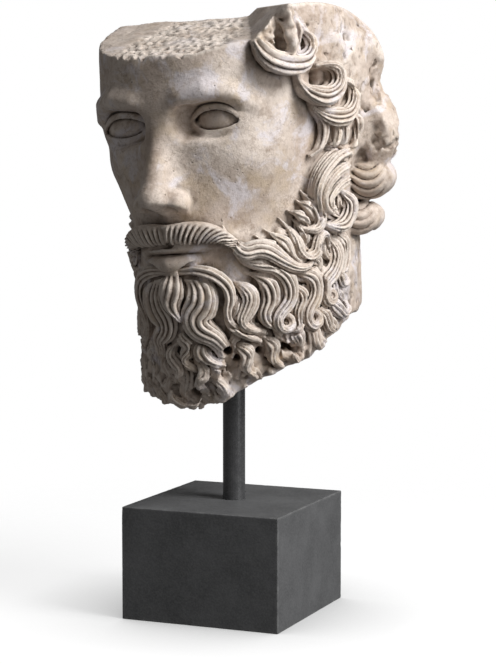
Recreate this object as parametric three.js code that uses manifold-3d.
// A fragment of a carved marble head, bearded and over life size, held up by a steel rod on a stone block.
// Millimetres, +Z up. The origin is the middle of the block's underside, and the block's front faces -Y.
import * as THREE from "three";
import { mergeVertices } from "three/addons/utils/BufferGeometryUtils.js";
import Module from "manifold-3d";

const wasm = await Module();
wasm.setup();

// Block and rod
const BLOCK_WIDTH = 148;
const BLOCK_DEPTH = 155;
const BLOCK_HEIGHT = 100;
const BLOCK_EASE = 1.2;
const ROD_RADIUS = 10;
const ROD_SIDES = 40;
const ROD_IN_BLOCK = 50;
const ROD_TOP = 285;
const GAP = 0.3;

// Where the head stands: its own origin is between the ears at eye level, and it looks along its own -Y.
// It is turned and nodded, and then leans about a level axis.
const HEAD_PLACE = new THREE.Vector3(-11, 33, 447);
const HEAD_TURN = -6;
const HEAD_NOD = 4;
const HEAD_LEAN = 5;
const LEAN_AXIS_TURN = 23;

// Plain mass of the head: height from eye level, half width, depth in front, depth behind, squareness
const SECTIONS = [
  [-262, 58, 118, 92, 2],
  [-225, 78, 136, 100, 2],
  [-195, 85, 139, 108, 2.1],
  [-106, 93, 140, 114, 2.1],
  [-50, 101, 138, 132, 2.25],
  [20, 109, 142, 150, 2.4],
  [80, 104, 133, 145, 2.3],
  [130, 86, 104, 120, 2.2],
];
const BLEND_STEP = 8;
const BLEND_WEIGHTS = [1, 2, 3, 2, 1];
// The head's right, turned away, is narrower: share of the width at the beard's end, jaw and cheek
const FAR_WIDTH = [[-250, 1.24], [-200, 1], [-150, 0.88], [-50, 0.93]];

// Beard and hair stand proud of the skin. Angles run from the middle of the face to the head's left,
// and each edge fades over a few degrees or millimetres.
const BEARD_RISE = 5;
const HAIR_RISE = 13;
const EDGE_FADE = 8;
const BEARD_TOP = [[0, -126], [14, -126], [24, -112], [31, -98], [40, -92], [50, -80], [63, -57], [75, -45]];
const BEARD_REAR = [[-260, 82], [-200, 92], [-160, 100], [-80, 103], [-45, 98]];
const HAIRLINE = [[-70, 66], [-4, 64], [27, 58], [54, 46], [72, 39], [120, 30]];
const HAIR_FOOT = [-62, -30];

// Soft forms of the face: sideways, height, spread sideways, spread in height, rise
const FACE_FORMS = [
  [0, 22, 15, 12, 1],
  [40, 70, 38, 26, 2.5],
  [72, -34, 20, 17, 4],
  [58, -84, 20, 18, -4],
  [96, 30, 12, 30, -3],
];
const FACE_FRONT = [-75, -35];
const FACE_REACH = 50;

// Features set on the mass or cut from it: [x, y, z, radius] along round cones, and eggs as middle and radii.
// Paired features are given for the head's left side and mirrored.
const BROW = [[9, -133, 15, 5], [24, -136, 21, 7], [44, -132, 25, 7.5], [62, -121, 21, 6.5],
  [76, -106, 8, 4]];
const NOSE_RIDGE = [[0, -127, 16, 9], [0, -131, 4, 7.5], [0, -145, -24, 8.5], [0, -160, -55, 11]];
const NOSE_WEDGE = [[0, -116, 4, 12], [0, -125, -28, 16], [0, -135, -58, 20]];
const NOSE_TIP = [0, -163.5, -61, 12, 12.5, 11];
const NOSE_WING = [17, -150, -64, 8, 13, 9.5];
const NOSE_FOOT = -77;
const EYE_SOCKETS = [[46, -131, 1, 27, 15, 13.5], [24, -131, 1, 8, 13, 12]];
const EYE = { x: 45, y: -103, z: -2, radius: 19, stretch: 1.32 };
const LIDS = { thickness: 3.2, half: 23, top: 9.5, bottom: -6.5, roundness: 2.2 };
const UPPER_LIP = [[0, -144, -102.5, 5.5], [18, -140, -103.5, 5], [35, -130, -108, 2]];
const LOWER_LIP = [[0, -141, -115.5, 7.6], [16, -137.5, -114.5, 6.4], [32, -130, -110, 2]];
const MOUSTACHE = [[4, -148, -90, 6], [18, -146, -94, 7.5], [32, -138, -101, 7.5], [43, -131, -110, 6]];

// Worn masses behind the ear on the left: middle and radii
const LUMPS = [
  [104, 50, 36, 25, 26, 30],
  [108, 42, -30, 28, 30, 34],
  [104, 40, -72, 26, 28, 13],
  [94, 38, -102, 22, 30, 17],
  [66, 54, -150, 13, 34, 58],
];
const LUMP_FILLET = 9;

// Rows of beard locks, lowest first: first and last angle, how many, first and last height,
// first and last heading, length
const BEARD_ROWS = [
  [4, 84, 7, -212, -184, -88, -66, 36],
  [2, 92, 8, -184, -158, -88, -56, 42],
  [13, 98, 8, -158, -126, -82, -46, 44],
  [22, 98, 7, -136, -94, -66, -38, 44],
  [30, 68, 5, -108, -64, -40, -46, 40],
];
const BEARD_WAVE = { wave: 46, period: 38, from: 0.64 };
const BEARD_CURL = 230;
const BEARD_LOCK_WIDTH = 8;
const BEARD_LOCK_RISE = 6.5;
const ROW_STEP = 0.8;
const LOCK_STEP = 4;

// Strands of the tuft under the lip, each side: first angle, turn, rise
const TUFT_STRANDS = [[3, -66, 14], [9, -74, 12.5], [15, -82, 10]];
const TUFT = { z: -128, heading: -60, length: 58, width: 5 };

// Locks set one by one on the head's left: the line, half width and rise
const SIDE_LOCKS = [
  [{ angle: 84, z: -46, heading: 185, length: 112, curl: 400, from: 0 }, 8, 12],
  [{ angle: 68, z: -108, heading: -85, length: 70, bend: 175 }, 7, 11],
  [{ angle: 84, z: -112, heading: -60, length: 84, curl: -420, from: 0.3 }, 7.5, 11],
  [{ angle: 72, z: 14, heading: -100, length: 66, wave: 34, period: 46 }, 8, 8],
  [{ angle: 82, z: 14, heading: -92, length: 66, wave: 34, period: 46, phase: 1 }, 8, 8],
  [{ angle: 93, z: 8, heading: -84, length: 60, wave: 34, period: 46, phase: 2 }, 8, 8],
  [{ angle: 78, z: 26, heading: 170, length: 74, curl: 420, from: 0.05 }, 9, 13],
  [{ angle: 64, z: 44, heading: 185, length: 84, curl: 420, from: 0.05 }, 10, 15],
  [{ angle: 44, z: 80, heading: 230, length: 92, bend: 190 }, 12, 17],
  [{ angle: 54, z: 80, heading: 240, length: 60, bend: 160 }, 10, 14],
];
const MOUSTACHE_ENDS = [
  [{ angle: 17, z: -104, heading: -32, length: 66, wave: 34, period: 48, curl: -120, from: 0.7 }, 8, 12],
  [{ angle: 20, z: -114, heading: -50, length: 60, wave: 34, period: 44, curl: 150, from: 0.7 }, 7, 10],
];

// The crown is worn round over the left temple: top, middle, half width and squareness, seen from CROWN_TURN
const CROWN_TURN = 29;
const CROWN_TOP = 88;
const CROWN_MIDDLE = 55;
const CROWN_HALF = 84;
const CROWN_POWER = 2.3;

// Grid of the carved surface: where a stretch ends and how many steps it has
const COLUMNS = [[-180], [-102, 5], [118, 76], [180, 4]];
const ROWS = [[-262], [-95, 31], [40, 24], [88, 7]];
const RAY_START = 215;
const RAY_STEPS = 60;
const RAY_MISS = 0.05;

// Broken faces: size of the chips and how rough they are
const CHIP_SIZE = 20;
const CHIP_SHIFT = 4;
const ROUGH = 2.6;

const rad = THREE.MathUtils.degToRad;
const deg = THREE.MathUtils.radToDeg;
const clamp = THREE.MathUtils.clamp;
const smooth = (a, b, x) => THREE.MathUtils.smoothstep(x, a, b);
const mix = THREE.MathUtils.lerp;

// Reads a column of a table at x, in a straight line between its rows
function along(table, x, column = 1) {
  const next = table.findIndex((row) => row[0] > x);
  if (next === 0) return table[0][column];
  if (next < 0) return table.at(-1)[column];
  const [a, b] = [table[next - 1], table[next]];
  return mix(a[column], b[column], (x - a[0]) / (b[0] - a[0]));
}

// A column of the sections at a height, blended so that no corner shows
function section(z, column) {
  const half = (BLEND_WEIGHTS.length - 1) / 2;
  const total = BLEND_WEIGHTS.reduce((sum, weight) => sum + weight, 0);
  return BLEND_WEIGHTS.reduce((sum, weight, i) => (
    sum + weight * along(SECTIONS, z + (i - half) * BLEND_STEP, column) / total), 0);
}

// Radius of the plain mass, with the beard's and the hair's thickness, at an angle and a height
function massRadius(angle, z) {
  const c = Math.cos(rad(angle));
  const s = Math.abs(Math.sin(rad(angle)));
  const power = section(z, 4);
  const width = section(z, 1) * (angle < 0 ? along(FAR_WIDTH, z) : 1);
  const depth = section(z, c > 0 ? 2 : 3);
  const r = ((s / width) ** power + Math.abs(c / depth) ** power) ** (-1 / power);
  const off = Math.abs(angle);
  const fade = (inside) => smooth(0, EDGE_FADE, inside);
  const beard = fade(along(BEARD_TOP, off) - z) * fade(along(BEARD_REAR, z) - off);
  const hair = fade(angle - along(HAIRLINE, z)) * smooth(...HAIR_FOOT, z);
  return r + BEARD_RISE * beard + HAIR_RISE * hair;
}

// Distance from a point to a run of round cones, each given as [x, y, z, radius]
function toTube(p, run) {
  let nearest = Infinity;
  for (let i = 0; i + 1 < run.length; i += 1) {
    const [a, b] = [run[i], run[i + 1]];
    const e = [b[0] - a[0], b[1] - a[1], b[2] - a[2]];
    const d = [p[0] - a[0], p[1] - a[1], p[2] - a[2]];
    const t = clamp((d[0] * e[0] + d[1] * e[1] + d[2] * e[2]) / (e[0] ** 2 + e[1] ** 2 + e[2] ** 2), 0, 1);
    const reach = Math.hypot(d[0] - t * e[0], d[1] - t * e[1], d[2] - t * e[2]);
    nearest = Math.min(nearest, reach - mix(a[3], b[3], t));
  }
  return nearest;
}

function toEgg(p, [x, y, z, rx, ry, rz]) {
  const q = Math.hypot((p[0] - x) / rx, (p[1] - y) / ry, (p[2] - z) / rz);
  return (q - 1) * Math.min(rx, ry, rz);
}

// The nearer of two distances, with a fillet of size k between them
function meld(a, b, k) {
  const h = Math.max(k - Math.abs(a - b), 0) / k;
  return Math.min(a, b) - h * h * k / 4;
}

function toNose(side) {
  let d = meld(toTube(side, NOSE_RIDGE), toTube(side, NOSE_WEDGE), 14);
  d = meld(d, toEgg(side, NOSE_TIP), 7);
  d = meld(d, toEgg(side, NOSE_WING), 5);
  return Math.max(d, NOSE_FOOT - side[2]);
}

function toLips(side) {
  return meld(toTube(side, UPPER_LIP), toTube(side, LOWER_LIP), 1);
}

function toEye([x, y, z]) {
  return Math.hypot((x - EYE.x) / EYE.stretch, y - EYE.y, z - EYE.z) - EYE.radius;
}

// The eyelids: a thicker ball, open in an almond
function toLids(side) {
  const e = Math.min(Math.abs((side[0] - EYE.x) / LIDS.half), 1);
  const arch = 1 - e ** LIDS.roundness;
  const open = Math.min(EYE.z + LIDS.top * arch - side[2], side[2] - EYE.z - LIDS.bottom * arch);
  return Math.max(toEye(side) - LIDS.thickness, open);
}

function faceForms(x, y, z) {
  const rises = FACE_FORMS.map(([across, height, wide, high, rise]) => (
    rise * Math.exp(-(((Math.abs(x) - across) / wide) ** 2) - ((z - height) / high) ** 2)));
  return rises.reduce((sum, rise) => sum + rise, 0) * (1 - smooth(...FACE_FRONT, y));
}

// Distance to the carved mass without its locks
function toMass(angle, r, z) {
  const p = [r * Math.sin(rad(angle)), -r * Math.cos(rad(angle)), z];
  let d = r - massRadius(angle, z) - faceForms(...p);
  if (Math.abs(angle) < FACE_REACH) {
    const side = [Math.abs(p[0]), p[1], p[2]];
    d = meld(d, toTube(side, BROW), 16);
    d = meld(d, toNose(side), 11);
    d = EYE_SOCKETS.reduce((depth, egg) => -meld(-depth, toEgg(side, egg), 10), d);
    d = Math.min(meld(d, toLids(side), 6), toEye(side));
    d = meld(d, toLips(side), 5);
    d = meld(d, toTube(side, MOUSTACHE), 4);
  }
  return LUMPS.reduce((nearest, lump) => meld(nearest, toEgg(p, lump), LUMP_FILLET), d);
}

// Comes in along a level ray until it meets the mass
function massSurface(angle, z) {
  let r = RAY_START;
  for (let i = 0; i < RAY_STEPS; i += 1) {
    const d = toMass(angle, r, z);
    if (d < RAY_MISS) break;
    r -= Math.max(d * 0.7, 0.25);
  }
  return r;
}

// A lock is a ridge along a line on the mass. The line starts at an angle and a height and turns as it goes:
// heading 0 runs backwards round the head, 90 upwards and -90 downwards. From the share "from" of its length
// on, its end curls.
function lockLine({ angle, z, heading, length, ...turns }) {
  const { wave = 0, period = 40, phase = 0, bend = 0, curl = 0, from = 0.6 } = turns;
  const steps = Math.round(length / LOCK_STEP);
  const stride = length / steps;
  const radius = massRadius(angle, z);
  const line = [[angle, z]];
  for (let i = 0; i < steps; i += 1) {
    const s = (i + 0.5) / steps;
    const sway = wave * Math.sin(2 * Math.PI * s * length / period + phase);
    const turn = rad(heading + bend * s + sway + curl * Math.max((s - from) / (1 - from), 0) ** 1.6);
    const [lastAngle, lastZ] = line[i];
    line.push([lastAngle + deg(stride * Math.cos(turn) / radius), lastZ + stride * Math.sin(turn)]);
  }
  return line;
}

function lock(shape, width, rise, side = 1) {
  const line = lockLine(shape).map(([angle, z]) => [angle * side, z]);
  const angles = line.map((point) => point[0]);
  const heights = line.map((point) => point[1]);
  const low = [Math.min(...angles) - width, Math.min(...heights) - width];
  const high = [Math.max(...angles) + width, Math.max(...heights) + width];
  return { line, width, rise, low, high };
}

// Rows of waved locks from the cheek down, each laid over the one below it
function beardLocks(side) {
  return BEARD_ROWS.flatMap(([front, back, count, zFront, zBack, headFront, headBack, length], row) => (
    Array.from({ length: count }, (_, i) => {
      const t = (i + 0.5) / count;
      const odd = (i + row) % 2;
      const shape = {
        ...BEARD_WAVE,
        angle: mix(front, back, t),
        z: mix(zFront, zBack, t),
        heading: mix(headFront, headBack, t),
        length,
        phase: odd * Math.PI,
        curl: odd ? -BEARD_CURL : BEARD_CURL,
      };
      return lock(shape, BEARD_LOCK_WIDTH, BEARD_LOCK_RISE + row * ROW_STEP, side);
    })));
}

// The tuft under the lip: strands that bow out and meet in a point
function tuftLocks(side) {
  return TUFT_STRANDS.map(([angle, bend, rise]) => {
    const shape = { angle, z: TUFT.z, heading: TUFT.heading - angle, length: TUFT.length, bend };
    return lock(shape, TUFT.width, rise, side);
  });
}

const LOCKS = [
  ...SIDE_LOCKS.map((one) => lock(...one)),
  ...[1, -1].flatMap((side) => [
    ...tuftLocks(side),
    ...beardLocks(side),
    ...MOUSTACHE_ENDS.map((one) => lock(...one, side)),
  ]),
];

// How far a lock stands out at an angle and a height: round across, and narrower towards its end
function lockRise(angle, z, { line, width, rise, low, high }) {
  if (angle < low[0] || angle > high[0] || z < low[1] || z > high[1]) return 0;
  const scale = rad(1) * massRadius(angle, z);
  let best = 1;
  for (let i = 0; i + 1 < line.length; i += 1) {
    const [a, b] = [line[i], line[i + 1]];
    const e = [(b[0] - a[0]) * scale, b[1] - a[1]];
    const d = [(angle - a[0]) * scale, z - a[1]];
    const t = clamp((d[0] * e[0] + d[1] * e[1]) / (e[0] ** 2 + e[1] ** 2), 0, 1);
    const s = (i + t) / (line.length - 1);
    const half = width * Math.min(0.6 + 1.6 * s, 1) * (1 - 0.45 * smooth(0.5, 1, s));
    best = Math.min(best, Math.hypot(d[0] - t * e[0], d[1] - t * e[1]) / half);
  }
  return rise * Math.sqrt(1 - best ** 2);
}

// How far out the worn crown lets the stone reach
function crownLimit(angle, z) {
  const lean = Math.sin(rad(angle - CROWN_TURN));
  if (z <= 0 || angle < 0 || lean < rad(1)) return Infinity;
  const lift = Math.min(z / CROWN_TOP, 1);
  return (CROWN_MIDDLE + CROWN_HALF * (1 - lift ** CROWN_POWER) ** (1 / CROWN_POWER)) / lean;
}

function carvedRadius(angle, z) {
  const skin = massSurface(angle, z);
  const rise = LOCKS.reduce((most, one) => Math.max(most, lockRise(angle, z, one)), 0);
  const locks = rise > 0 ? massRadius(angle, z) + rise : 0;
  return Math.min(Math.max(skin, locks), crownLimit(angle, z));
}

function solidOf(geometry) {
  const bare = geometry.clone();
  bare.deleteAttribute("normal");
  bare.deleteAttribute("uv");
  const merged = mergeVertices(bare);
  const vertProperties = new Float32Array(merged.attributes.position.array);
  const triVerts = new Uint32Array(merged.index.array);
  return new wasm.Manifold(new wasm.Mesh({ numProp: 3, vertProperties, triVerts }));
}

function geometryOf(solid) {
  const mesh = solid.getMesh();
  const geometry = new THREE.BufferGeometry();
  geometry.setAttribute("position", new THREE.Float32BufferAttribute(mesh.vertProperties, 3));
  geometry.setIndex(Array.from(mesh.triVerts));
  geometry.computeVertexNormals();
  return geometry;
}

// The steps of a grid, from where each stretch starts to where it ends
function spread(stops) {
  return stops.slice(1).flatMap(([end, count], i) => (
    Array.from({ length: count }, (_, k) => mix(stops[i][0], end, (k + 1) / count))));
}

// The whole head as a grid of level rays, before it was broken. Each cell is split along the diagonal
// that lies closer to the carving.
function wholeHead() {
  const angles = spread(COLUMNS);
  const heights = [ROWS[0][0], ...spread(ROWS)];
  const wide = angles.length;
  const radii = heights.map((z) => angles.map((angle) => carvedRadius(angle, z)));
  const points = radii.flatMap((row, j) => row.flatMap((r, i) => (
    [r * Math.sin(rad(angles[i])), -r * Math.cos(rad(angles[i])), heights[j]])));
  const faces = [];
  for (let j = 0; j + 1 < heights.length; j += 1) {
    for (let i = 0; i < wide; i += 1) {
      const next = (i + 1) % wide;
      const [a, b, c, d] = [j * wide + i, j * wide + next, (j + 1) * wide + i, (j + 1) * wide + next];
      const half = (angles[next] - angles[i] + 360) % 360 / 2;
      const middle = carvedRadius(angles[i] + half, (heights[j] + heights[j + 1]) / 2);
      const rising = Math.abs((radii[j][i] + radii[j + 1][next]) / 2 - middle);
      const falling = Math.abs((radii[j][next] + radii[j + 1][i]) / 2 - middle);
      faces.push(...(rising < falling ? [a, b, d, a, d, c] : [a, b, c, b, d, c]));
    }
  }
  const foot = heights.length * wide;
  const crown = foot - wide;
  points.push(0, 0, heights[0], 0, 0, heights.at(-1));
  for (let i = 0; i < wide; i += 1) {
    const next = (i + 1) % wide;
    faces.push(next, i, foot, crown + i, crown + next, foot + 1);
  }
  const geometry = new THREE.BufferGeometry();
  geometry.setAttribute("position", new THREE.Float32BufferAttribute(points, 3));
  geometry.setIndex(faces);
  return solidOf(geometry);
}

// A repeatable number from -1 to 1 for each pair of whole numbers
function chance(i, j, seed) {
  const n = Math.sin(i * 127.1 + j * 311.7 + seed * 74.7) * 43758.5453;
  return 2 * (n - Math.floor(n)) - 1;
}

// Everything beyond a broken face, as a box whose near side is bent to the face and roughened.
// face(a, b) gives a point of the break, and away is the way out of the stone.
function beyond(face, [a0, a1], [b0, b1], away, seed) {
  const [wide, high] = [Math.round((a1 - a0) / CHIP_SIZE), Math.round((b1 - b0) / CHIP_SIZE)];
  const box = new THREE.BoxGeometry(wide, high, 1, wide, high, 1);
  const corners = box.attributes.position;
  const out = new THREE.Vector3(...away);
  const roughOut = out.clone().normalize().multiplyScalar(ROUGH);
  for (let n = 0; n < corners.count; n += 1) {
    const [i, j] = [Math.round(corners.getX(n) + wide / 2), Math.round(corners.getY(n) + high / 2)];
    const a = mix(a0, a1, i / wide) + CHIP_SHIFT * chance(i, j, seed + 1);
    const b = mix(b0, b1, j / high) + CHIP_SHIFT * chance(i, j, seed + 2);
    const point = new THREE.Vector3(...face(a, b)).addScaledVector(roughOut, chance(i, j, seed));
    if (corners.getZ(n) > 0) point.add(out);
    corners.setXYZ(n, point.x, point.y, point.z);
  }
  return solidOf(box);
}

// The cut across the crown rises to a crest and falls behind it; u runs along CROWN_TURN, v away from it
function crownBreak(u, v) {
  const [c, s] = [Math.cos(rad(CROWN_TURN)), Math.sin(rad(CROWN_TURN))];
  const [x, y] = [u * c - v * s, u * s + v * c];
  const fall = Math.max(y + 30, 0) ** 2 / 90;
  return [x, y, 89 - 0.05 * x + 0.22 * y - fall];
}

const backBreak = (z, x) => [x, 17 + 0.38 * x - 0.13 * z, z];
const farBreak = (z, y) => [-101 - 0.13 * y, y, z];
const neckBreak = (y, x) => [x, y, -221 + 0.2 * y + Math.max(0.27 * x, -0.1 * x)];

function brokenHead() {
  const cutters = [
    beyond(crownBreak, [-180, 20], [-180, 120], [105, 58, 90], 1),
    beyond(backBreak, [-280, 110], [-140, 160], [0, 160, 0], 2),
    beyond(farBreak, [-280, 110], [-170, 100], [-60, 0, 0], 3),
    beyond(neckBreak, [-190, 130], [-140, 150], [0, 0, -90], 4),
  ];
  return cutters.reduce((stone, cutter) => stone.subtract(cutter), wholeHead());
}

function rodShape(radius, bottom, top) {
  const shape = new THREE.CylinderGeometry(radius, radius, top - bottom, ROD_SIDES);
  return shape.rotateX(Math.PI / 2).translate(0, 0, (bottom + top) / 2);
}

function blockShape() {
  const [w, d] = [BLOCK_WIDTH / 2, BLOCK_DEPTH / 2];
  const outline = new THREE.Shape();
  outline.moveTo(-w + BLOCK_EASE, -d).lineTo(w - BLOCK_EASE, -d).lineTo(w, -d + BLOCK_EASE);
  outline.lineTo(w, d - BLOCK_EASE).lineTo(w - BLOCK_EASE, d).lineTo(-w + BLOCK_EASE, d);
  outline.lineTo(-w, d - BLOCK_EASE).lineTo(-w, -d + BLOCK_EASE).closePath();
  return new THREE.ExtrudeGeometry(outline, { depth: BLOCK_HEIGHT, bevelEnabled: false });
}

const marble = new THREE.MeshStandardMaterial({ name: "marble", color: 0xb5a896, roughness: 0.85 });
const slate = new THREE.MeshStandardMaterial({ name: "slate", color: 0x3b3c3e, roughness: 0.7 });
const steel = new THREE.MeshStandardMaterial({
  name: "steel",
  color: 0x1d1d1f,
  roughness: 0.4,
  metalness: 0.8,
});

const bust = new THREE.Group();

const rodBottom = BLOCK_HEIGHT - ROD_IN_BLOCK;
const rod = new THREE.Mesh(rodShape(ROD_RADIUS, rodBottom, ROD_TOP), steel);
rod.name = "rod";
bust.add(rod);

const socket = rodShape(ROD_RADIUS + GAP, rodBottom - GAP, 2 * BLOCK_HEIGHT);
const plinth = new THREE.Mesh(geometryOf(solidOf(blockShape()).subtract(solidOf(socket))), slate);
plinth.name = "plinth";
bust.add(plinth);

const lean = new THREE.Group();
const leanAxis = new THREE.Vector3(Math.sin(rad(LEAN_AXIS_TURN)), -Math.cos(rad(LEAN_AXIS_TURN)), 0);
lean.position.copy(HEAD_PLACE);
lean.quaternion.setFromAxisAngle(leanAxis, rad(HEAD_LEAN));
bust.add(lean);

const head = new THREE.Mesh(new THREE.BufferGeometry(), marble);
head.name = "head";
head.rotation.set(rad(HEAD_NOD), 0, rad(HEAD_TURN), "ZXY");
lean.add(head);
bust.updateMatrixWorld(true);
const bore = rodShape(ROD_RADIUS + GAP, BLOCK_HEIGHT, ROD_TOP + GAP);
bore.applyMatrix4(head.matrixWorld.clone().invert());
head.geometry = geometryOf(brokenHead().subtract(solidOf(bore)));

export default bust;
